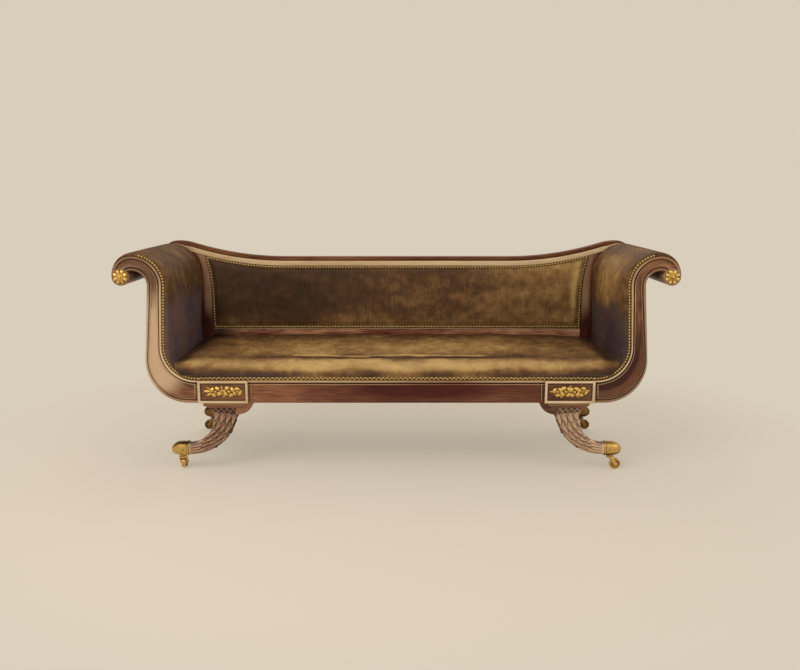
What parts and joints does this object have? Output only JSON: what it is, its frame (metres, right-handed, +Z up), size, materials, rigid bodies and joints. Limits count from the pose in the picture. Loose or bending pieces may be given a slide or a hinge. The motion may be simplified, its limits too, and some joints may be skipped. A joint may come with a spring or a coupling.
{
  "type": "recamier sofa",
  "caption": "Grecian scroll-arm sofa with a low padded back, leather seat, sabre legs and swivelling brass casters.",
  "frame": {"origin": "on the floor under the middle of the sofa", "axes": "+X along the sofa to the right as seen from the front, +Y from the front to the back, +Z up"},
  "size_m": [2.1674, 0.626, 0.8715],
  "materials": {
    "mahogany": "French polished, worn lighter on the raised mouldings",
    "dark_mahogany": "French polished dark veneer",
    "inner_wood": "unpolished frame timber",
    "leather": "aged brown hide, satin",
    "gilt": "gilt mount, satin",
    "brass": "polished brass with a brown patina",
    "webbing": "coarse jute"
  },
  "bodies": {
    "frame": {"rear_seat_rail": "inner_wood", "side_rail_left": "inner_wood", "side_rail_right": "inner_wood", "seat_brace_left": "inner_wood", "seat_brace_right": "inner_wood", "arm_top_rail_left": "inner_wood", "arm_top_rail_right": "inner_wood", "seat_webbing": "webbing", "front_seat_rail": "mahogany", "front_arm_support_left": "mahogany", "front_arm_support_right": "mahogany", "rear_arm_support_left": "mahogany", "rear_arm_support_right": "mahogany", "arm_roll_left": "mahogany", "arm_roll_right": "mahogany", "crest_rail": "mahogany", "back_lower_rail": "mahogany", "back_stile_left": "mahogany", "back_stile_right": "mahogany", "front_leg_cap_block_left": "mahogany", "front_leg_cap_block_right": "mahogany", "front_leg_left": "mahogany", "front_leg_right": "mahogany", "rear_leg_cap_block_left": "mahogany", "rear_leg_cap_block_right": "mahogany", "rear_leg_left": "mahogany", "rear_leg_right": "mahogany", "tablet_left": "dark_mahogany", "tablet_right": "dark_mahogany", "tablet_mount_left": "gilt", "tablet_mount_right": "gilt", "arm_rosette_left": "gilt", "arm_rosette_right": "gilt", "outside_arm_cover_left": "leather", "outside_arm_cover_right": "leather", "outside_back_cover": "leather", "seat_pad": "leather", "arm_pad_left": "leather", "arm_pad_right": "leather", "back_pad": "leather", "front_toe_cap_left": "brass", "front_toe_cap_right": "brass", "rear_toe_cap_left": "brass", "rear_toe_cap_right": "brass"},
    "caster_front_left": {"caster_fork_front_left": "brass", "caster_axle_front_left": "brass"},
    "wheel_front_left": {"caster_wheel_front_left": "brass"},
    "caster_front_right": {"caster_fork_front_right": "brass", "caster_axle_front_right": "brass"},
    "wheel_front_right": {"caster_wheel_front_right": "brass"},
    "caster_rear_left": {"caster_fork_rear_left": "brass", "caster_axle_rear_left": "brass"},
    "wheel_rear_left": {"caster_wheel_rear_left": "brass"},
    "caster_rear_right": {"caster_fork_rear_right": "brass", "caster_axle_rear_right": "brass"},
    "wheel_rear_right": {"caster_wheel_rear_right": "brass"}
  },
  "joints": [
    {"name": "swivel_front_left", "type": "hinge", "parent": "frame", "child": "caster_front_left", "pos_m": [-0.85, -0.27, 0.06], "axis": [0, 0, 1], "continuous": true},
    {"name": "roll_front_left", "type": "hinge", "parent": "caster_front_left", "child": "wheel_front_left", "pos_m": [-0.85, -0.25, 0.022], "axis": [1, 0, 0], "continuous": true},
    {"name": "swivel_front_right", "type": "hinge", "parent": "frame", "child": "caster_front_right", "pos_m": [0.85, -0.27, 0.06], "axis": [0, 0, 1], "continuous": true},
    {"name": "roll_front_right", "type": "hinge", "parent": "caster_front_right", "child": "wheel_front_right", "pos_m": [0.87, -0.27, 0.022], "axis": [0, 1, 0], "continuous": true},
    {"name": "swivel_rear_left", "type": "hinge", "parent": "frame", "child": "caster_rear_left", "pos_m": [-0.85, 0.268, 0.06], "axis": [0, 0, 1], "continuous": true},
    {"name": "roll_rear_left", "type": "hinge", "parent": "caster_rear_left", "child": "wheel_rear_left", "pos_m": [-0.87, 0.268, 0.022], "axis": [0, 1, 0], "continuous": true},
    {"name": "swivel_rear_right", "type": "hinge", "parent": "frame", "child": "caster_rear_right", "pos_m": [0.85, 0.268, 0.06], "axis": [0, 0, 1], "continuous": true},
    {"name": "roll_rear_right", "type": "hinge", "parent": "caster_rear_right", "child": "wheel_rear_right", "pos_m": [0.87, 0.268, 0.022], "axis": [0, 1, 0], "continuous": true}
  ]
}
